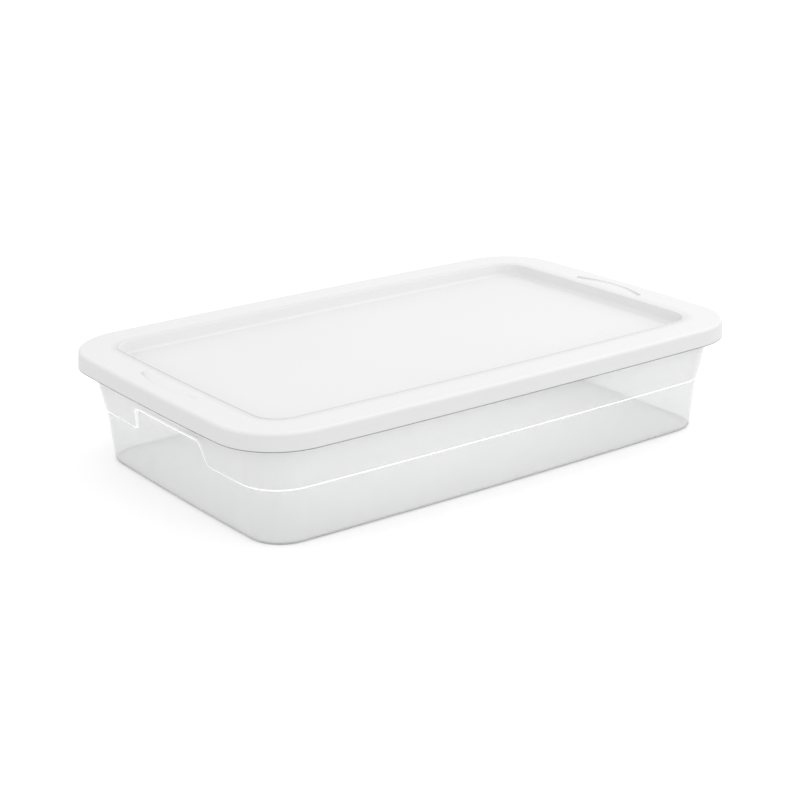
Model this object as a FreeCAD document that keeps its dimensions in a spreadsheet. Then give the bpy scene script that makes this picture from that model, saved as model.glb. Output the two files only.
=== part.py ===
import FreeCAD, Part
import Sketcher
import math
import os

V = FreeCAD.Vector
os.makedirs("parts", exist_ok=True)
doc = FreeCAD.newDocument("under_bed_box")

# The box is two injection mouldings: a tub and a lift-off lid.  Both are laid round one
# master outline, the lid's lower edge: a rectangle with slightly bowed sides and large
# corners.  Every level of either moulding is that outline moved inwards by an "inset".
# Millimetres, +X along the long side, +Z up, origin on the floor under the middle.
sheet = doc.addObject("Spreadsheet::Sheet", "Sizes")
DIMENSIONS = [
    ("length", 750, "lid's lower edge, end to end"),
    ("width", 476.6, "lid's lower edge, across"),
    ("corner_radius", 82.4, "corner of the master outline"),
    ("long_bow_radius", 12320, "bow of the long sides"),
    ("short_bow_radius", 5640, "bow of the short ends"),
    ("height", 145.8, "floor to the lid's band"),
    ("clearance", 0.4, "gap between lid and tub"),
    # tub
    ("tub_wall", 1.8, "wall thickness of the tub"),
    ("base_inset", 38.2, "lower wall at the floor"),
    ("base_edge_radius", 5.2, "rounded edge round the base"),
    ("ledge_height", 68.8, "where the wall steps out"),
    ("ledge_inset", 31.4, "lower wall at the ledge"),
    ("ledge_step", 1.6, "step out at the ledge"),
    ("belt_top_inset", 15.5, "upper wall under the rim"),
    ("rim_height", 140.6, "top of the tub's rim"),
    ("rim_inset", 4.6, "outside of the rim's turned-down lip"),
    ("rim_lip_height", 129, "lower edge of that lip"),
    ("grip_half_width", 82, "end window, half width at the ledge"),
    ("grip_half_top", 75, "end window, half width at its top"),
    ("grip_top", 98, "end window, its top edge"),
    ("grip_corner", 9, "end window, its rounded corners"),
    ("foot_width", 22, "standing band round the base"),
    ("foot_height", 2.5, "rise of the base inside that band"),
    # lid
    ("lid_wall", 2.2, "wall thickness of the lid"),
    ("skirt_height", 21.5, "depth of the lid's skirt"),
    ("skirt_draft", 1.6, "skirt leans in by this at its top"),
    ("skirt_edge_radius", 3.6, "rounded top edge of the skirt"),
    ("band_width", 51.3, "skirt's lower edge to the panel recess"),
    ("recess_depth", 15, "band down to the panel"),
    ("recess_draft", 4, "recess wall leans in by this"),
    ("recess_edge_radius", 1.2, "top edge of the recess wall"),
    ("recess_foot_radius", 4.5, "foot of the recess wall"),
    ("seat_inset", 9, "rib that sits over the rim"),
    ("seat_width", 2, "thickness of that rib"),
    ("thumb_half_length", 64, "thumb pocket, half length"),
    ("thumb_inner", 338, "thumb pocket, inner edge from the middle"),
    ("thumb_outer", 356, "thumb pocket, outer edge from the middle"),
    ("thumb_arc_radius", 198, "thumb pocket, bow of its outer wall"),
    ("thumb_end_depth", 3.6, "thumb pocket, depth at its two ends"),
    ("thumb_side_depth", 1.9, "thumb pocket, depth halfway to its ends"),
    ("thumb_mid_depth", 1.3, "thumb pocket, depth at its middle"),
    ("bead_length", 70, "snap bead, length"),
    ("bead_reach", 2.2, "snap bead, inwards from the skirt"),
]
for row, (alias, size, note) in enumerate(DIMENSIONS, 1):
    sheet.set(f"A{row}", alias)
    sheet.set(f"B{row}", str(size))
    sheet.set(f"C{row}", note)
    sheet.setAlias(f"B{row}", alias)
doc.recompute()

# Heights and insets that follow from the driving dimensions.
LEDGE = "Sizes.ledge_height"
WALL = "Sizes.tub_wall"
SKIN = "Sizes.lid_wall"
BELT_INSET = "(Sizes.ledge_inset - Sizes.ledge_step)"
LOWER_DRAFT = "((Sizes.base_inset - Sizes.ledge_inset) / Sizes.ledge_height)"
LOWER_TOP = "(Sizes.grip_top + Sizes.tub_wall + 1)"
FLANGE = "(Sizes.rim_height - Sizes.tub_wall)"
FOOT_INSET = "(Sizes.base_inset + Sizes.foot_width)"
SKIRT_FOOT = "(Sizes.height - Sizes.skirt_height)"
SEAT_FOOT = "(Sizes.rim_height + Sizes.clearance)"
PANEL_TOP = "(Sizes.height - Sizes.recess_depth)"
PANEL_INSET = "(Sizes.band_width + Sizes.recess_draft)"
THUMB_ARC = "Sizes.thumb_arc_radius"


def lower_inset(z):
    """Inset of the lower wall, carried on at its own draft to any height."""
    return f"(Sizes.base_inset - {LOWER_DRAFT} * {z})"


def value(expression):
    return float(sheet.evalExpression(expression))


def fix(sketch, kind, where, expression):
    """Add one dimension to a sketch and bind it to an expression."""
    index = sketch.addConstraint(Sketcher.Constraint(kind, *where, value(expression)))
    sketch.setExpression(f"Constraints[{index}]", expression)


def attach(sketch, body, plane, offset=None):
    """Lay a sketch on one of its body's origin planes, moved along the plane's normal."""
    support = [f for f in body.Origin.OriginFeatures if f.Role == plane][0]
    sketch.AttachmentSupport = [(support, "")]
    sketch.MapMode = "FlatFace"
    if offset:
        sketch.setExpression("AttachmentOffset.Base.z", offset)


def outline_sketch(body, label, inset, height):
    """The master outline moved inwards by an inset, as a closed sketch at one height."""
    sketch = body.newObject("Sketcher::SketchObject", label)
    attach(sketch, body, "XY_Plane", height)
    half_x = f"Sizes.length / 2 - {inset}"
    half_y = f"Sizes.width / 2 - {inset}"
    end_radius = f"Sizes.short_bow_radius - {inset}"
    corner_radius = f"Sizes.corner_radius - {inset}"
    side_radius = f"Sizes.long_bow_radius - {inset}"
    a, b = value(half_x), value(half_y)
    re, rc, rs = value(end_radius), value(corner_radius), value(side_radius)
    # corner centre: as far from each bow's centre as the bow and corner radii differ
    end_x, side_y = a - re, b - rs
    span = math.hypot(end_x, side_y)
    along = ((re - rc) ** 2 - (rs - rc) ** 2 + span ** 2) / (2 * span)
    across = math.sqrt((re - rc) ** 2 - along ** 2)
    ux, uy = -end_x / span, side_y / span
    cx, cy = end_x + ux * along - uy * across, uy * along + ux * across
    angle_end = math.atan2(cy, cx - end_x)
    angle_side = math.atan2(cy - side_y, cx)
    # per quarter turn: half of one side's bow, the corner, half of the next side's bow
    for sx, sy in ((1, 1), (-1, 1), (-1, -1), (1, -1)):
        first = sketch.GeometryCount
        turn = sx * sy > 0
        bows = [(V(sx * end_x, 0, 0), re, 0, angle_end), (V(sx * cx, sy * cy, 0), rc, angle_end, angle_side),
                (V(0, sy * side_y, 0), rs, angle_side, math.pi / 2)]
        for centre, radius, low, high in bows:
            low, high = [math.atan2(sy * math.sin(t), sx * math.cos(t)) for t in (low, high)]
            if not turn:
                low, high = high, low
            sketch.addGeometry(Part.ArcOfCircle(Part.Circle(centre, V(0, 0, 1), radius), low, high), False)
        start, end = (1, 2) if turn else (2, 1)
        sketch.addConstraint(Sketcher.Constraint("PointOnObject", first, 3, -1))
        sketch.addConstraint(Sketcher.Constraint("PointOnObject", first, start, -1))
        sketch.addConstraint(Sketcher.Constraint("PointOnObject", first + 2, 3, -2))
        sketch.addConstraint(Sketcher.Constraint("PointOnObject", first + 2, end, -2))
        for i in (first, first + 1):
            sketch.addConstraint(Sketcher.Constraint("Tangent", i, end, i + 1, start))
        fix(sketch, "DistanceX", (-1, 1, first, start) if sx > 0 else (first, start, -1, 1), half_x)
        fix(sketch, "DistanceY", (-1, 1, first + 2, end) if sy > 0 else (first + 2, end, -1, 1), half_y)
        for i, radius in enumerate((end_radius, corner_radius, side_radius)):
            fix(sketch, "Radius", (first + i,), radius)
    return sketch


def traced_sketch(body, label, plane, corners, offset=None):
    """A closed outline of straight sides through (across, up, radius) corners.

    A corner with a radius keeps its sharp point as construction geometry, and an arc
    tangent to both sides rounds it.  Every size is an expression.
    """
    sketch = body.newObject("Sketcher::SketchObject", label)
    attach(sketch, body, plane, offset)
    points = [V(value(x), value(y), 0) for x, y, _ in corners]
    count = len(corners)
    into, out = [], []
    for i, (_, _, radius) in enumerate(corners):
        back, ahead = points[i - 1] - points[i], points[(i + 1) % count] - points[i]
        back.normalize()
        ahead.normalize()
        run = value(radius) / math.tan(back.getAngle(ahead) / 2) if radius else 0
        into.append(points[i] + back * run)
        out.append(points[i] + ahead * run)
    sides = [sketch.addGeometry(Part.LineSegment(out[i], into[(i + 1) % count]), False) for i in range(count)]
    for i, (x, y, radius) in enumerate(corners):
        before, after = sides[i - 1], sides[i]
        if radius:
            middle = (into[i] + out[i]) / 2
            bulge = points[i] - middle
            reach = value(radius) / math.sin((into[i] - points[i]).getAngle(out[i] - points[i]) / 2)
            centre = points[i] - bulge.normalize() * reach
            crown = centre + (points[i] - centre).normalize() * value(radius)
            arc = sketch.addGeometry(Part.Arc(into[i], crown, out[i]), False)
            start, end = (1, 2) if arc_starts_at(sketch, arc, into[i]) else (2, 1)
            sketch.addConstraint(Sketcher.Constraint("Tangent", before, 2, arc, start))
            sketch.addConstraint(Sketcher.Constraint("Tangent", arc, end, after, 1))
            fix(sketch, "Radius", (arc,), radius)
            point = (sketch.addGeometry(Part.Point(points[i]), True), 1)
            sketch.addConstraint(Sketcher.Constraint("PointOnObject", *point, before))
            sketch.addConstraint(Sketcher.Constraint("PointOnObject", *point, after))
        else:
            sketch.addConstraint(Sketcher.Constraint("Coincident", before, 2, after, 1))
            point = (after, 1)
        fix(sketch, "DistanceX", (-1, 1, *point), x)
        fix(sketch, "DistanceY", (-1, 1, *point), y)
    return sketch


def arc_starts_at(sketch, arc, point):
    return sketch.getPoint(arc, 1).distanceToPoint(point) < 1e-6


def frustum(label, low_inset, low_height, high_inset, high_height):
    """A solid that fills the outline between two heights, each with its own inset."""
    body = doc.addObject("PartDesign::Body", label)
    low = outline_sketch(body, label + "_low", low_inset, low_height)
    high = outline_sketch(body, label + "_high", high_inset, high_height)
    loft = body.newObject("PartDesign::AdditiveLoft", label + "_loft")
    loft.Profile = low
    loft.Sections = [high]
    loft.Ruled = True
    doc.recompute()
    return body


def swept_ring(label, corners):
    """One cross-section, given by insets and heights, carried round the master outline."""
    body = doc.addObject("PartDesign::Body", label)
    spine = outline_sketch(body, label + "_path", "0", corners[0][1])
    profile = traced_sketch(body, label + "_section", "XZ_Plane",
                            [(f"Sizes.length / 2 - {inset}", z, radius) for inset, z, radius in corners])
    pipe = body.newObject("PartDesign::AdditivePipe", label + "_sweep")
    pipe.Profile = profile
    pipe.Spine = (spine, [])
    doc.recompute()
    return body


def combine(kind, label, *parts):
    result = doc.addObject("Part::" + kind, label)
    if kind == "Cut":
        result.Base, result.Tool = parts
    else:
        result.Shapes = list(parts)
    doc.recompute()
    return result


# ---------------------------------------------------------------- tub
# The wall is the difference of two like shapes, outside and inside, one wall apart.
# Each is a lower wall, and an upper wall that stands proud of it above the ledge.
def grip_window(label, grow):
    """A block through both ends that holds the upper wall back over the hand hold."""
    body = doc.addObject("PartDesign::Body", label)
    ledge, top = f"({LEDGE} + {grow})", f"(Sizes.grip_top + {grow})"
    foot, head = f"(Sizes.grip_half_width + {grow})", f"(Sizes.grip_half_top + {grow})"
    brim, below = "(Sizes.grip_half_width + 40)", f"({LEDGE} - 6)"
    soft = "Sizes.grip_corner"
    outline = traced_sketch(body, label + "_face", "YZ_Plane", [
        (f"-{brim}", below, None), (brim, below, None), (brim, ledge, None), (foot, ledge, soft),
        (head, top, soft), (f"-{head}", top, soft), (f"-{foot}", ledge, soft), (f"-{brim}", ledge, None)])
    pad = body.newObject("PartDesign::Pad", label + "_pad")
    pad.Profile = outline
    pad.Midplane = True
    pad.setExpression("Length", "Sizes.length + 20")
    doc.recompute()
    return body


def tub_shape(label, grow, floor, top, edge_radius):
    """The tub's outside (grow 0) or inside (grow one wall) as a filled shape."""
    core = f"({FOOT_INSET} + {grow})"
    border = swept_ring(label + "_lower_wall", [
        (f"({lower_inset(floor)} + {grow})", floor, edge_radius),
        (f"({lower_inset(LOWER_TOP)} + {grow})", LOWER_TOP, None),
        (f"({core} + 4)", LOWER_TOP, None), (f"({core} + 4)", floor, None)])
    middle = frustum(label + "_lower_core", core, floor, core, LOWER_TOP)
    belt = frustum(label + "_belt", f"({BELT_INSET} + {grow})", f"({LEDGE} + {grow})",
                   f"(Sizes.belt_top_inset + {grow})", top)
    window = grip_window(label + "_window", grow)
    lower = combine("MultiFuse", label + "_lower", border, middle)
    return combine("MultiFuse", label, lower, combine("Cut", label + "_upper", belt, window))


tub_outside = tub_shape("tub_outside", "0", "0", FLANGE, "Sizes.base_edge_radius")
tub_inside = tub_shape("tub_inside", WALL, WALL, "(Sizes.rim_height + 1)",
                       "(Sizes.base_edge_radius - Sizes.tub_wall)")

# The middle of the base is raised, so that the tub stands on a band round its edge.
base_rise = frustum("base_rise", f"({FOOT_INSET} - 1)", "-1", f"({FOOT_INSET} + 1.5)", "Sizes.foot_height")
floor_rise = frustum("floor_rise", f"({FOOT_INSET} - 2.5)", "1", f"({FOOT_INSET} + 0.5)",
                     f"(Sizes.foot_height + {WALL})")

# The rim turns outwards over the wall and down inside the lid's skirt.
rim = swept_ring("rim", [
    ("Sizes.rim_inset", "Sizes.rim_lip_height", None),
    ("Sizes.rim_inset", "Sizes.rim_height", "2.4"),
    (f"(Sizes.belt_top_inset + {WALL})", "Sizes.rim_height", "0.6"),
    (f"(Sizes.belt_top_inset + {WALL})", f"({FLANGE} - 1)", None),
    ("(Sizes.belt_top_inset + 0.2)", f"({FLANGE} - 1)", None),
    ("(Sizes.belt_top_inset - 0.6)", FLANGE, None),
    (f"(Sizes.rim_inset + {WALL})", FLANGE, "0.6"),
    (f"(Sizes.rim_inset + {WALL})", "Sizes.rim_lip_height", None),
])
tub_cavity = combine("Cut", "tub_cavity", tub_inside, floor_rise)
tub_walls = combine("Cut", "tub_walls", tub_outside, tub_cavity)
tub_standing = combine("Cut", "tub_standing", tub_walls, base_rise)
tub = combine("MultiFuse", "tub", tub_standing, rim)

# ---------------------------------------------------------------- lid
# One cross-section holds the skirt, the flat band, the recess wall and the panel's edge.
lid_ring = swept_ring("lid_ring", [
    ("0", SKIRT_FOOT, None),
    ("Sizes.skirt_draft", "Sizes.height", "Sizes.skirt_edge_radius"),
    ("Sizes.band_width", "Sizes.height", "Sizes.recess_edge_radius"),
    (PANEL_INSET, PANEL_TOP, "Sizes.recess_foot_radius"),
    (f"({PANEL_INSET} + 12)", PANEL_TOP, None),
    (f"({PANEL_INSET} + 12)", f"({PANEL_TOP} - {SKIN})", None),
    (f"({PANEL_INSET} - {SKIN})", f"({PANEL_TOP} - {SKIN})", "3"),
    (f"(Sizes.band_width - {SKIN})", f"(Sizes.height - {SKIN})", "1"),
    ("(Sizes.seat_inset + Sizes.seat_width)", f"(Sizes.height - {SKIN})", None),
    ("(Sizes.seat_inset + Sizes.seat_width)", SEAT_FOOT, None),
    ("Sizes.seat_inset", SEAT_FOOT, None),
    ("Sizes.seat_inset", f"(Sizes.height - {SKIN})", None),
    (f"(Sizes.skirt_draft + {SKIN})", f"(Sizes.height - {SKIN})", "1.4"),
    (SKIN, SKIRT_FOOT, None),
])
panel = frustum("panel", f"({PANEL_INSET} + 10)", f"({PANEL_TOP} - {SKIN})", f"({PANEL_INSET} + 10)", PANEL_TOP)


def thumb_shape(label, grow, lift):
    """A shallow pocket in the band: its floor falls outwards, most at the two ends.

    grow makes the plan larger and lift moves the floor, so that the same shape gives the
    pocket and the skin under it.
    """
    inner, outer = f"(Sizes.thumb_inner - {grow})", f"(Sizes.thumb_outer + {grow})"
    half = f"(Sizes.thumb_half_length + {grow})"
    top = "(Sizes.height + 2)" if grow == "0" else "(Sizes.height - 1)"
    wedge = doc.addObject("PartDesign::Body", label + "_wedge")
    sections = []
    for name, share, depth in (("near_end", 1, "end"), ("near_side", 0.5, "side"), ("middle", 0, "mid"),
                               ("far_side", -0.5, "side"), ("far_end", -1, "end")):
        along = f"({half} * {share})"
        reach = f"(Sizes.thumb_outer - Sizes.thumb_inner - {THUMB_ARC} + sqrt({THUMB_ARC} ^ 2 - {along} ^ 2))"
        fall = f"Sizes.thumb_{depth}_depth / {reach} * ({outer} - {inner})"
        sections.append(traced_sketch(wedge, f"{label}_{name}", "XZ_Plane", [
            (inner, f"(Sizes.height - {lift})", None), (outer, f"(Sizes.height - {lift} - {fall})", None),
            (outer, top + " + 1", None), (inner, top + " + 1", None)], along))
    loft = wedge.newObject("PartDesign::AdditiveLoft", label + "_loft")
    loft.Profile = sections[0]
    loft.Sections = sections[1:]
    doc.recompute()
    plan = doc.addObject("PartDesign::Body", label + "_plan")
    sketch = plan.newObject("Sketcher::SketchObject", label + "_plan_outline")
    attach(sketch, plan, "XY_Plane", f"(Sizes.height - {lift} - 8)")
    radius = f"(Sizes.thumb_arc_radius + {grow})"
    a, b, h, r = value(inner), value(outer), value(half), value(radius)
    side = b - r + math.sqrt(r * r - h * h)
    tilt = math.asin(h / r)
    sketch.addGeometry([Part.LineSegment(V(a, -h, 0), V(side, -h, 0)),
                        Part.ArcOfCircle(Part.Circle(V(b - r, 0, 0), V(0, 0, 1), r), -tilt, tilt),
                        Part.LineSegment(V(side, h, 0), V(a, h, 0)), Part.LineSegment(V(a, h, 0), V(a, -h, 0))], False)
    for link in ((0, 2, 1, 1), (1, 2, 2, 1), (2, 2, 3, 1), (3, 2, 0, 1)):
        sketch.addConstraint(Sketcher.Constraint("Coincident", *link))
    for level in (0, 2):
        sketch.addConstraint(Sketcher.Constraint("Horizontal", level))
    sketch.addConstraint(Sketcher.Constraint("Vertical", 3))
    sketch.addConstraint(Sketcher.Constraint("PointOnObject", 1, 3, -1))
    fix(sketch, "Radius", (1,), radius)
    fix(sketch, "DistanceX", (-1, 1, 1, 3), f"{outer} - {radius}")
    fix(sketch, "DistanceX", (-1, 1, 3, 1), inner)
    fix(sketch, "DistanceY", (0, 1, -1, 1), half)
    fix(sketch, "DistanceY", (-1, 1, 2, 1), half)
    pad = plan.newObject("PartDesign::Pad", label + "_plan_pad")
    pad.Profile = sketch
    pad.setExpression("Length", f"{top} - (Sizes.height - {lift} - 8)")
    doc.recompute()
    right = combine("MultiCommon", label + "_right", wedge, plan)
    left = doc.addObject("Part::Mirroring", label + "_left")
    left.Source = right
    left.Normal = V(1, 0, 0)
    doc.recompute()
    return right, left


thumb_cuts = thumb_shape("thumb_cut", "0", "0")
thumb_skins = thumb_shape("thumb_skin", "(Sizes.lid_wall * 0.9)", "(Sizes.lid_wall * 0.9)")

# Short beads inside the skirt's foot close under the rim's lip.
bead_ring = swept_ring("bead_ring", [
    (f"({SKIN} - 0.8)", f"({SKIRT_FOOT} + 0.4)", None),
    (f"({SKIN} - 0.8)", f"({SKIRT_FOOT} + 3.6)", None),
    ("(Sizes.rim_inset - Sizes.clearance)", f"({SKIRT_FOOT} + 2)", "0.5"),
])
bead_blocks = []
for side, (x, y) in {"front_left": (-0.28, 0), "front_right": (0.28, 0), "end": (0, 1)}.items():
    block = doc.addObject("Part::Box", "bead_" + side)
    along, across = ("Length", "Width") if y == 0 else ("Width", "Length")
    block.setExpression(along, "Sizes.bead_length")
    block.setExpression(across, "Sizes.width + 20" if y == 0 else "Sizes.length + 20")
    block.setExpression("Height", "Sizes.skirt_height")
    block.setExpression("Placement.Base.x", f"Sizes.length * {x} - {'Sizes.bead_length' if y == 0 else 'Sizes.length - 20'} / 2"
                        if y == 0 else "-(Sizes.length + 20) / 2")
    block.setExpression("Placement.Base.y", "-(Sizes.width + 20) / 2" if y == 0 else "-Sizes.bead_length / 2")
    block.setExpression("Placement.Base.z", SKIRT_FOOT)
    bead_blocks.append(block)
beads = combine("MultiCommon", "beads", bead_ring, combine("MultiFuse", "bead_places", *bead_blocks))
lid_blank = combine("MultiFuse", "lid_blank", lid_ring, panel, *thumb_skins, beads)
lid = combine("Cut", "lid", lid_blank, combine("MultiFuse", "thumb_pockets", *thumb_cuts))

# ---------------------------------------------------------------- check and write
doc.recompute()
for item in doc.Objects:
    if {"Invalid", "Error"} & set(item.State):
        raise RuntimeError(f"{item.Label}: {item.State}")
for node in (tub, lid):
    node.Label = node.Name
    shape = node.Shape
    if shape.isNull() or not shape.isValid() or len(shape.Solids) != 1:
        raise RuntimeError(f"{node.Label}: not one valid solid")
    shape.exportStep(f"parts/{node.Label}.step")
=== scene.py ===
import math
import bmesh
import bpy
import numpy as np
from mathutils import Matrix, Vector


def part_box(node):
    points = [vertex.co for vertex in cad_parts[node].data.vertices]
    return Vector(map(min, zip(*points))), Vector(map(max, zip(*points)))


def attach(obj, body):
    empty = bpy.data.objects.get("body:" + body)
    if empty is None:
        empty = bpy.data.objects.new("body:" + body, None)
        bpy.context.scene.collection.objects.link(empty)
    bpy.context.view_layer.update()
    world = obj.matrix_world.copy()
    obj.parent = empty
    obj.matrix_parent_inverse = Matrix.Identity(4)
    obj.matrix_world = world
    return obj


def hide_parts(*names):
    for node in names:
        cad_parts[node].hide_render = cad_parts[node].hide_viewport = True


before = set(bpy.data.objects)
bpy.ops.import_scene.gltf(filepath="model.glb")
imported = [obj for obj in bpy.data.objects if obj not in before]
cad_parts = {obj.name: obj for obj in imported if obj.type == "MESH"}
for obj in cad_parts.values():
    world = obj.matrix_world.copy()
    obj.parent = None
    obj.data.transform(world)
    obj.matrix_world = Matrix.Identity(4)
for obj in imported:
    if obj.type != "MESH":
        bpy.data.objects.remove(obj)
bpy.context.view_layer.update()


# --- Tub -------------------------------------------------------------------
# The tub is one injection moulding in clear polypropylene, about 1.8 mm thick.
# Its wall steps out at a ledge, which climbs over a hand hold at each short end,
# and its rim turns out and down to sit inside the lid's skirt.
MM = 0.001
lid_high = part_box("lid")[1]
half_length, half_width = lid_high.x / MM, lid_high.y / MM
corner_radius = 82.4
end_bow_radius, side_bow_radius = 5640.0, 12320.0

# Where the corner arc meets the bows of the end and of the side.
end_centre, side_centre = half_length - end_bow_radius, half_width - side_bow_radius
span = math.hypot(end_centre, side_centre)
along = ((end_bow_radius - corner_radius) ** 2 - (side_bow_radius - corner_radius) ** 2
         + span ** 2) / (2 * span)
across = math.sqrt((end_bow_radius - corner_radius) ** 2 - along ** 2)
corner_x = end_centre - (end_centre * along + side_centre * across) / span
corner_y = (side_centre * along - end_centre * across) / span
end_tilt = math.atan2(corner_y, corner_x - end_centre)
side_tilt = math.atan2(corner_y - side_centre, corner_x)

# The hand hold's S-curve, as heights of the ledge along the short end.
ledge_height, hold_top = 68.8, 98.0
hold_foot, hold_head, hold_round = 82.0, 75.0, 9.0


def rounded(corners, steps):
    """The line through (across, up, radius) corners, each rounded; numbers or columns."""
    width = max(np.size(part) for corner in corners for part in corner)
    points = [np.stack(np.broadcast_arrays(c[0], c[1], np.zeros(width))[:2], -1).astype(float)
              for c in corners]
    nothing, least_turn, longest, flat_margin = 1e-9, 0.02, 0.49, 0.3
    line = []
    for i, (here, corner) in enumerate(zip(points, corners)):
        radius = np.broadcast_to(np.asarray(corner[2], float), (width,))
        if i in (0, len(corners) - 1) or not radius.any():
            line.append(here)
            continue
        back, ahead = points[i - 1] - here, points[i + 1] - here
        back_run, ahead_run = np.linalg.norm(back, axis=1), np.linalg.norm(ahead, axis=1)
        back, ahead = back / back_run[:, None], ahead / ahead_run[:, None]
        half = np.arccos(np.clip((back * ahead).sum(1), -1, 1)) / 2
        run = np.minimum(radius / np.maximum(np.tan(half), 1e-6),
                         longest * np.minimum(back_run, ahead_run))
        turn = np.pi - 2 * half
        margin = flat_margin * run[:, None]
        start, end = here + back * run[:, None], here + ahead * run[:, None]
        inward = back + ahead
        inward /= np.maximum(np.linalg.norm(inward, axis=1), nothing)[:, None]
        centre = here + inward * (run / np.maximum(np.cos(half), nothing))[:, None]
        line.append(start + back * margin)
        for step in range(steps + 1):
            share = step / steps
            bent, turns = np.sin(np.maximum(turn, nothing)), turn > least_turn
            first = np.where(turns, np.sin((1 - share) * turn) / bent, 1 - share)[:, None]
            last = np.where(turns, np.sin(share * turn) / bent, share)[:, None]
            swung = centre + first * (start - centre) + last * (end - centre)
            flat = start + share * (end - start)
            line.append(np.where(turns[:, None], swung, flat))
        line.append(end + ahead * margin)
    return line


flank = rounded([(hold_foot + 20, ledge_height, 0), (hold_foot, ledge_height, hold_round),
                 (hold_head, hold_top, hold_round), (0, hold_top, 0)], 6)
flank = np.array([point[0] for point in flank[1:-1]])
flank_y, flank_z = flank[::-1, 0], flank[::-1, 1]
corner_end_y = end_bow_radius * math.sin(end_tilt)
side_end_x = side_bow_radius * math.cos(side_tilt)

# Columns run up both mouldings at the same stations: along half an end, round a corner
# and along half a side. They crowd where a snap bead or a thumb pocket of the lid ends.
bead_middle, bead_half = 210, 35
bead_stations = bead_half + np.array([1, 0, -1])
thumb_stations = 63.6 + np.array([-1, -0.5, 0, 0.5, 1])
end_y = np.unique(np.concatenate([
    [0, 10, 20, 30], bead_stations, [42, 48, 54, 59], thumb_stations,
    flank_y[flank_y > thumb_stations[-1]], [96, 108, 124, 140, corner_end_y]]))
side_x = np.concatenate([
    [side_end_x, 270, 256], bead_middle + bead_stations, [228, bead_middle, 192],
    bead_middle - bead_stations[::-1], np.arange(150, -1, -30)])
corner_columns = 20
corner_tilts = np.linspace(end_tilt, side_tilt, corner_columns + 2)[1:-1]
end_count = len(end_y)
columns = end_count + len(corner_tilts) + len(side_x)


def quarter(inset, height, shift=0.0, painted_light_and_shade=0.0):
    """One quarter of a ring, as x, y, z and its painted glow and shade value; shift slides it
    along the short end.
    """
    inset, height, shift, painted_light_and_shade = (np.broadcast_to(np.asarray(v, float), (columns,))
                                   for v in (inset, height, shift, painted_light_and_shade))
    end_tilts = np.arcsin(np.clip(end_y + shift[:end_count], 0, corner_end_y) / end_bow_radius)
    tilt = np.concatenate([end_tilts, corner_tilts, np.arccos(side_x / side_bow_radius)])
    counts = end_count, corner_columns, len(side_x)
    centre_x, centre_y, radius = (np.repeat(part, counts) for part in (
        (end_centre, corner_x, 0), (0, corner_y, side_centre),
        (end_bow_radius, corner_radius, side_bow_radius)))
    radius = radius - inset
    return np.column_stack([centre_x + radius * np.cos(tilt), centre_y + radius * np.sin(tilt),
                            height, painted_light_and_shade])


def full_ring(part):
    """The closed ring that a quarter makes when it is mirrored to the other three."""
    second, third = part[::-1] * (-1, 1, 1, 1), part * (-1, -1, 1, 1)
    fourth = part[::-1] * (1, -1, 1, 1)
    return np.vstack([part, second[1:], third[1:], fourth[1:-1]])


def closed_in(ring, rings=7):
    """Further rings that shrink a flat ring to a short line along its middle."""
    reach = ring[:, 0].max() - ring[:, 1].max()
    middle = ring.copy()
    middle[:, 0] = np.clip(ring[:, 0], -reach, reach)
    middle[:, 1] = 0
    return [ring + (middle - ring) * (step + 1) / rings for step in range(rings)]


def moulding(name, rings):
    """A closed skin through rings of equal count, whose first and last meet in a line."""
    count, same_spot = len(rings[0]), 0.0000001
    points = np.vstack(rings)
    faces = [(low + i, low + (i + 1) % count, low + count + (i + 1) % count, low + count + i)
             for low in range(0, (len(rings) - 1) * count, count) for i in range(count)]
    mesh = bpy.data.meshes.new(name)
    mesh.from_pydata((points[:, :3] * MM).tolist(), [], faces)
    mesh.attributes.new("painted_light_and_shade", "FLOAT", "POINT").data.foreach_set("value", points[:, 3])
    form = bmesh.new()
    form.from_mesh(mesh)
    bmesh.ops.remove_doubles(form, verts=form.verts, dist=same_spot)
    bmesh.ops.recalc_face_normals(form, faces=form.faces)
    form.to_mesh(mesh)
    form.free()
    mesh.shade_smooth()
    piece = bpy.data.objects.new(name, mesh)
    bpy.context.collection.objects.link(piece)
    return piece


tub_wall = 1.8
base_inset, ledge_inset, ledge_step = 38.2, 31.4, 1.6
belt_top_inset, rim_inset, lip_height, rim_height = 15.5, 4.6, 129.0, 140.6
flange = rim_height - tub_wall
foot_rise, foot_inset, core_inset = 2.5, 60.2, 66.0
foot_round, step_round, lip_round, beside_ledge, arc_steps = 5.2, 0.8, 0.5, 1.3, 4

# Height of the ledge at each column, and which way its S-curve faces there.
ledge = np.full(columns, ledge_height)
ledge[:end_count] = np.interp(end_y, flank_y, flank_z, left=hold_top, right=ledge_height)
rise, run = np.zeros(columns), np.ones(columns)
on_flank = np.flatnonzero((end_y > flank_y[0]) & (end_y < flank_y[-1]))
rise[on_flank] = -np.gradient(ledge[:end_count], end_y)[on_flank]
across_flank, up_flank = rise / np.hypot(rise, run), run / np.hypot(rise, run)


def lower_inset(height):
    """How far the lower wall stands in from the lid's outline at a height."""
    return base_inset - (base_inset - ledge_inset) / ledge_height * height


def belt_inset(height):
    """The same for the upper wall, which stands out past the ledge."""
    share = (height - ledge_height) / (flange - ledge_height)
    return ledge_inset - ledge_step + (belt_top_inset - ledge_inset + ledge_step) * share


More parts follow.
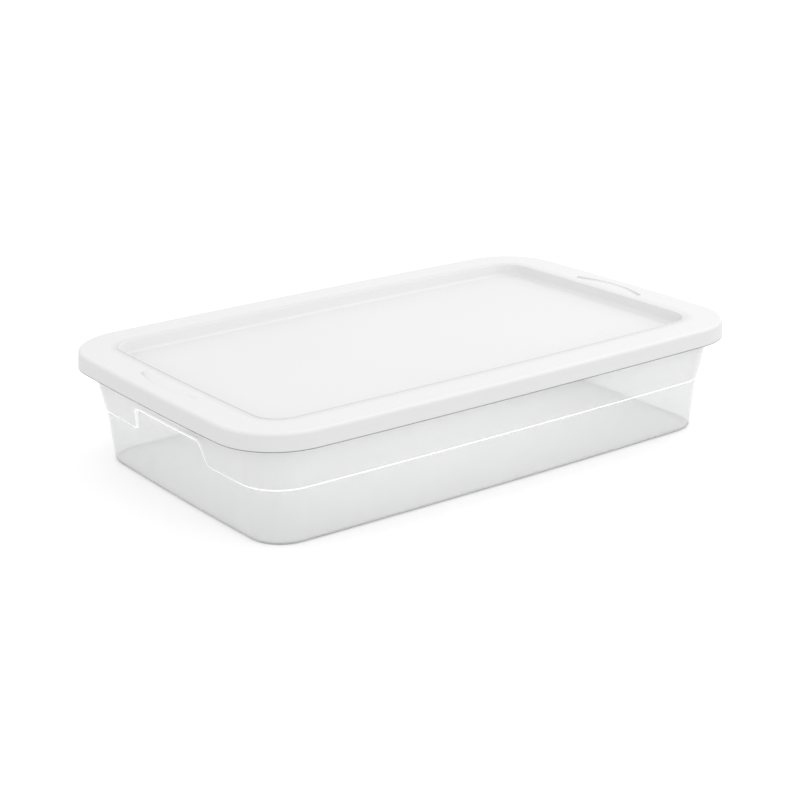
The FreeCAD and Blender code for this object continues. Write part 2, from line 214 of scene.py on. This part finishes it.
def wall_line(grow, foot, top):
    """The wall from the floor up to the rim: lower wall, ledge, upper wall."""
    step_up = ledge + grow * up_flank
    deep, proud = lower_inset(step_up) + grow, belt_inset(step_up) + grow
    foot_at, top_at = lower_inset(foot) + grow, belt_inset(top) + grow
    beside = beside_ledge / up_flank + 0.8 * grow
    below, above = step_up - beside, step_up + beside
    lower = [foot + (below - foot) * share for share in (0.25, 0.5, 0.75, 1)]
    upper = [above + (top - above) * share for share in (0, 0.25, 0.5, 0.75)]
    return ([(foot_at, foot, foot_round - grow)]
            + [(foot_at + (deep - foot_at) * (z - foot) / (step_up - foot), z, 0) for z in lower]
            + [(deep, step_up, step_round - 0.2 * grow), (proud, step_up, step_round + 0.6 * grow)]
            + [(proud + (top_at - proud) * (z - step_up) / (top - step_up), z, 0) for z in upper])


outer_wall, inner_wall = wall_line(0, 0, flange), wall_line(tub_wall, tub_wall, flange)
underside = [(core_inset, foot_rise, 0), (foot_inset + 1.5, foot_rise, step_round),
             (foot_inset - 0.3, 0, step_round)]
rim = [(belt_top_inset, flange, 0.6), (rim_inset + tub_wall, flange, 0.6),
       (rim_inset + tub_wall, lip_height, lip_round), (rim_inset, lip_height, lip_round),
       (rim_inset, rim_height, 2.4), (belt_top_inset + tub_wall, rim_height, step_round)]
floor_top = [(foot_inset - tub_wall, tub_wall, step_round),
             (foot_inset + 0.5, foot_rise + tub_wall, step_round),
             (core_inset, foot_rise + tub_wall, 0)]
outer_line = rounded(underside + outer_wall + rim[:1], arc_steps)[:-1]
rim_line = rounded(outer_wall[-1:] + rim + inner_wall[-1:], arc_steps)[1:-1]
inner_line = rounded(rim[-1:] + inner_wall[::-1] + floor_top, arc_steps)[1:]

# Light gathers in the ledge and in the rim, and the foot's round edge lies in shade by the floor.
# All three are painted: a value per point, above zero for painted glow, below zero for painted
# foot shade.
lean_reach, ledge_line, flank_thins, ledge_fade, flank_fades = 24, 1.25, 0.45, 0.35, 0.35
rim_glow, foot_painted_shade, foot_top, foot_fade = 0.3, 0.7, 2.9, 1.3
rim_limit, base_limit = 22, 50
steep = np.abs(across_flank)
tub_rings = []
for line, lean in ((outer_line, 0), (rim_line, 0), (inner_line, tub_wall)):
    for inset, height in (point.T for point in line):
        from_ledge = np.abs(height - ledge)
        close = np.clip(1 - from_ledge / lean_reach, 0, 1)
        half_line = ledge_line - flank_thins * steep
        edge = np.clip((half_line - from_ledge * up_flank) / ledge_fade, 0, 1)
        edge = edge * (1 - flank_fades * steep) * (inset > rim_limit) * (lean == 0)
        foot = foot_painted_shade * np.clip((foot_top - height) / foot_fade, 0, 1)
        foot = foot * (inset < base_limit) * (lean == 0)
        painted_mark = edge + rim_glow * (line is rim_line) - foot
        tub_rings.append(full_ring(quarter(inset, height, lean * across_flank * close, painted_mark)))
tub = moulding("clear_tub", closed_in(tub_rings[0])[::-1] + tub_rings + closed_in(tub_rings[-1]))
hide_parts("tub")
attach(tub, "tub")


class Field:
    """A shader socket that can be used in arithmetic."""

    def __init__(self, tree, socket):
        self.tree, self.socket = tree, socket

    def math(self, operation, first, second):
        return add_node(self.tree, "ShaderNodeMath", {"operation": operation},
                        **{"0": first, "1": second})

    def __add__(self, other):
        return self.math("ADD", self, other)

    def __sub__(self, other):
        return self.math("SUBTRACT", self, other)

    def __rsub__(self, other):
        return self.math("SUBTRACT", other, self)

    def __mul__(self, other):
        return self.math("MULTIPLY", self, other)

    __radd__, __rmul__ = __add__, __mul__


def add_node(tree, kind, settings=None, out=0, **values):
    """One node: its settings first, then the values or links of its sockets."""
    node = tree.nodes.new(kind)
    for name, value in (settings or {}).items():
        setattr(node, name, value)
    for key, value in values.items():
        socket = node.inputs[int(key) if key.isdigit() else key.replace("_", " ")]
        if isinstance(value, Field):
            tree.links.new(value.socket, socket)
        else:
            socket.default_value = value
    return Field(tree, node.outputs[out])


def plastic(name, piece):
    """A new material on a piece, with its node tree and Principled shader."""
    material = bpy.data.materials.new(name)
    material.use_nodes = True
    piece.data.materials.append(material)
    return material.node_tree, material.node_tree.nodes["Principled BSDF"]


def feed(shader, **fields):
    """Link fields to the shader's sockets of the same names."""
    for name, field in fields.items():
        field.tree.links.new(field.socket, shader.inputs[name.replace("_", " ")])


# Clear plastic: mostly see-through, hazier at a slant; solid with a painted glow where light
# gathers, and solid with painted shade at the foot.
# Less alpha than 0.285 or less roughness than 0.275 leaves thin contour marks in a render.
clear, tub_painted_shade_grey = (0.83, 0.832, 0.834, 1), (0.2, 0.2, 0.202, 1)
no_glint, full_glint = (0, 0, 0, 1), (0.5, 0.5, 0.5, 1)
tree, shader = plastic("clear_polypropylene", tub)
place = add_node(tree, "ShaderNodeTexCoord", out=3)
haze = add_node(tree, "ShaderNodeTexNoise", Vector=place, Scale=9.0, Detail=3.0, Roughness=0.55)
ripple = add_node(tree, "ShaderNodeTexNoise", Vector=place, Scale=60.0, Detail=2.0)
facing = add_node(tree, "ShaderNodeLayerWeight", Blend=0.35, out=1)
painted_light_and_shade = add_node(tree, "ShaderNodeAttribute", {"attribute_name": "painted_light_and_shade"}, out=2)
shader.inputs["IOR"].default_value = 1.49
shader.inputs["Emission Strength"].default_value = 1.0
# Painted glow: emission where light gathers in the ledge line and the rim.
glint = add_node(tree, "ShaderNodeMix", {"data_type": "RGBA"}, out=2, **{
    "0": painted_light_and_shade, "6": no_glint, "7": full_glint})
# Painted shade: the colour darkens towards a dark grey at the foot's round edge by the floor.
body = add_node(tree, "ShaderNodeMix", {"data_type": "RGBA"}, out=2, **{
    "0": 0 - painted_light_and_shade, "6": clear, "7": tub_painted_shade_grey})
solid = add_node(tree, "ShaderNodeMath", {"operation": "ABSOLUTE"}, **{"0": painted_light_and_shade})
feed(shader, Base_Color=body, Emission_Color=glint,
     Alpha=0.285 + 0.03 * haze + 0.16 * facing + 0.65 * solid, Roughness=0.30 + 0.08 * haze,
     Normal=add_node(tree, "ShaderNodeBump", Height=ripple, Strength=0.02, Distance=0.001))


def area_lamp(name, place, size, power):
    """A rectangular lamp that shines straight down until it is turned."""
    lamp = bpy.data.lights.new(name, "AREA")
    lamp.shape, lamp.energy = "RECTANGLE", power
    lamp.size, lamp.size_y = size
    holder = bpy.data.objects.new(name, lamp)
    bpy.context.collection.objects.link(holder)
    holder.location = place
    return holder


# A soft lamp inside the tub stands in for the light that the hazy wall scatters inwards.
glow = area_lamp("inner_glow", (0, 0, 0.12), (0.55, 0.3), 0.5)
glow.visible_camera = False


# --- Lid -------------------------------------------------------------------
# The lid is one moulding in opaque white plastic with a fine satin grain from
# the mould. It sits over the tub's rim and lifts straight off.
lid_wall, band, skirt_height = 2.2, lid_high.z / MM, 21.5
skirt_foot, panel_top = band - skirt_height, band - 15.0
band_width, recess_draft = 51.3, 4.0
clearance, skirt_draft = 0.4, 1.6
seat_inset, seat_foot = 9.0, rim_height + clearance

# The thumb pocket at the middle of each short end: its outer wall is an arc in plan.
thumb_half, thumb_inner, thumb_outer, thumb_arc = 64.0, 37.0, 356.0, 198.0
thumb_depth, thumb_end_depth, thumb_lean = 1.3, 3.6, 0.12
off_the_end = 999.0
thumb_y = np.append(end_y, np.full(columns - end_count, off_the_end))
thumb = np.interp(thumb_y, thumb_stations, [1, 0.9, 0.5, 0.1, 0])
arc_y = np.minimum(thumb_y, thumb_half)
arc_x = thumb_outer - thumb_arc + np.sqrt(thumb_arc ** 2 - arc_y ** 2)
thumb_edge = half_length - arc_y ** 2 / (2 * end_bow_radius) - arc_x
depth = thumb * (thumb_depth + (thumb_end_depth - thumb_depth) * (arc_y / thumb_half) ** 2)
foot_edge = thumb_edge + 0.3 + thumb_lean * depth

# Snap beads inside the skirt's foot: one at each end, two along each side.
bead = np.zeros(columns)
bead_end = [bead_half, bead_half + 1]
bead[:end_count] = np.interp(end_y, bead_end, [1, 0])
bead[-len(side_x):] = np.interp(np.abs(side_x - bead_middle), bead_end, [1, 0])


def skirt_inside(height):
    """How far the inside of the skirt stands in from the lid's outline."""
    return lid_wall + skirt_draft * (height - skirt_foot) / (band - lid_wall - skirt_foot)


# A fine raised lip runs round the recess; the band falls to its outer foot.
lip_width, lip_foot, lip_rise = 1.5, 2.1, 0.8
under_band, rib, pocket_wall = band - lid_wall, 2, 1.6
bead_low, bead_top, bead_high = skirt_foot + 0.8, skirt_foot + 2, skirt_foot + 3.4
bead_inset = skirt_inside(bead_top) + bead * (rim_inset - clearance - skirt_inside(bead_top))
lid_line = rounded([
    (core_inset, panel_top, 0), (band_width + recess_draft, panel_top, 4.5),
    (band_width, band, 0.9), (band_width - lip_width, band, 0.5),
    (band_width - lip_foot, band - lip_rise, 0.3), (thumb_inner, band, 14),
    (foot_edge, band - depth, 0.6), (thumb_edge, band, 0.45), (12, band, 0),
    (skirt_draft, band, 3.6), (0.4, skirt_foot + 5, 0), (0.1, skirt_foot + 1.3, 0),
    (0, skirt_foot, 0.35), (lid_wall, skirt_foot, 0.35),
    (skirt_inside(bead_low), bead_low, 0.2), (bead_inset, bead_top, 0.5),
    (skirt_inside(bead_high), bead_high, 0.2), (lid_wall + skirt_draft, under_band, 1.4),
    (seat_inset, under_band, 0.5), (seat_inset, seat_foot, 0.4),
    (seat_inset + rib, seat_foot, 0.4), (seat_inset + rib, under_band, 0.5),
    (thumb_edge - pocket_wall, under_band, 0.8),
    (foot_edge - pocket_wall, under_band - depth, 0.8), (thumb_inner + 1, under_band, 8),
    (band_width - lid_wall, under_band, 1),
    (band_width + recess_draft - lid_wall, panel_top - lid_wall, 3),
    (core_inset, panel_top - lid_wall, 0)], arc_steps)

# The skirt's foot and the lip's outer face get painted shade: their colour is mixed towards a dark
# grey.
lip_painted_shade, lip_middle = 0.2, band_width - (lip_width + lip_foot) / 2
lid_rings = []
for inset, height in (point.T for point in lid_line):
    foot_shade = np.clip((skirt_foot + 1.1 - height) / 0.5, 0, 1)
    lip_shade = np.clip(1.6 - np.abs(inset - lip_middle) / 0.5, 0, 1) * (height > band - 1)
    lid_rings.append(full_ring(quarter(inset, height, 0, foot_shade + lip_painted_shade * lip_shade)))
lid = moulding("white_lid", closed_in(lid_rings[0])[::-1] + lid_rings + closed_in(lid_rings[-1]))
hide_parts("lid")
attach(lid, "lid")

# White plastic: a fine satin grain and a faint drift in its white.
white, paler_white = (0.61, 0.61, 0.612, 1), (0.625, 0.625, 0.628, 1)
# The dark grey of the painted shade at the skirt's foot and on the lip's outer face.
lid_painted_shade_grey = (0.14, 0.14, 0.142, 1)
tree, shader = plastic("white_lid_plastic", lid)
place = add_node(tree, "ShaderNodeTexCoord", out=3)
grain = add_node(tree, "ShaderNodeTexNoise", Vector=place, Scale=900.0, Detail=2.0)
cloud = add_node(tree, "ShaderNodeTexNoise", Vector=place, Scale=6.0, Detail=2.0)
tone = add_node(tree, "ShaderNodeMix", {"data_type": "RGBA"}, out=2, **{
    "0": cloud, "6": white, "7": paler_white})
shader.inputs["IOR"].default_value = 1.5
shader.inputs["Specular IOR Level"].default_value = 0.25
# Painted shade: the attribute read here mixes the white towards that dark grey at the skirt's foot
# and the lip.
foot = add_node(tree, "ShaderNodeAttribute", {"attribute_name": "painted_light_and_shade"}, out=2)
tone = add_node(tree, "ShaderNodeMix", {"data_type": "RGBA"}, out=2, **{
    "0": foot, "6": tone, "7": lid_painted_shade_grey})
feed(shader, Base_Color=tone, Roughness=0.42 + 0.1 * grain,
     Normal=add_node(tree, "ShaderNodeBump", Height=grain, Strength=0.05, Distance=0.0003))


# --- Floor, light and camera ----------------------------------------------
# A plain white sweep under soft studio light. The sweep glows a little, and a
# dimmer sheet just under it stands in for it in the light thrown back up.
def sheet(name, height, tone, glow):
    """A wide level sheet of one grey that gives off some light of its own."""
    bpy.ops.mesh.primitive_plane_add(size=30, location=(0, 0, height))
    plane = bpy.context.object
    plane.name = name
    shader = plastic(name + "_white", plane)[1]
    shader.inputs["Base Color"].default_value = (tone, tone, tone, 1)
    shader.inputs["Roughness"].default_value = 0.9
    shader.inputs["Emission Color"].default_value = (1, 1, 1, 1)
    shader.inputs["Emission Strength"].default_value = glow
    return plane


floor = sheet("floor", 0, 0.6, 0.33)
floor.visible_diffuse = False
bounce = sheet("bounce", -0.001, 0.72, 0)
bounce.visible_camera = bounce.visible_glossy = bounce.visible_shadow = False

world = bpy.data.worlds.new("studio")
bpy.context.scene.world = world
world.use_nodes = True
world.node_tree.nodes["Background"].inputs["Color"].default_value = (1, 1, 1, 1)
world.node_tree.nodes["Background"].inputs["Strength"].default_value = 1.12


def soft_light(name, place, aim, size, power):
    """A lamp turned to face a point."""
    light = area_lamp(name, place, size, power)
    light.rotation_euler = (Vector(aim) - Vector(place)).to_track_quat("-Z", "Y").to_euler()


box_middle = (0, 0, 0.1)
soft_light("front", (0, -3, 1.6), box_middle, (3, 2), 19)
soft_light("front_low", (1.9, -2.8, 0.7), box_middle, (2, 1), 13)
soft_light("left", (-3, 0, 1.6), box_middle, (3, 2), 20)
soft_light("right", (1.2, 0, 1.6), (0.1, 0, 0.1), (1.2, 1.6), 9)

# The camera looks down over the near corner through a fairly long lens.
azimuth, elevation, roll = (math.radians(a) for a in (-36.28, 18.84, -0.8))
aim, distance = Vector((-0.0119, 0, 0.0559)), 2.2962
back = Vector((math.sin(azimuth) * math.cos(elevation), -math.cos(azimuth) * math.cos(elevation),
               math.sin(elevation)))
side = Vector((0, 0, 1)).cross(back).normalized()
camera_data = bpy.data.cameras.new("camera")
camera_data.lens, camera_data.sensor_width = 81.11, 36
camera = bpy.data.objects.new("camera", camera_data)
bpy.context.collection.objects.link(camera)
turn = Matrix((side, back.cross(side), back)).transposed() @ Matrix.Rotation(roll, 3, "Z")
camera.matrix_world = Matrix.Translation(aim + back * distance) @ turn.to_4x4()
bpy.context.scene.camera = camera
bpy.context.scene.view_settings.view_transform = "Standard"
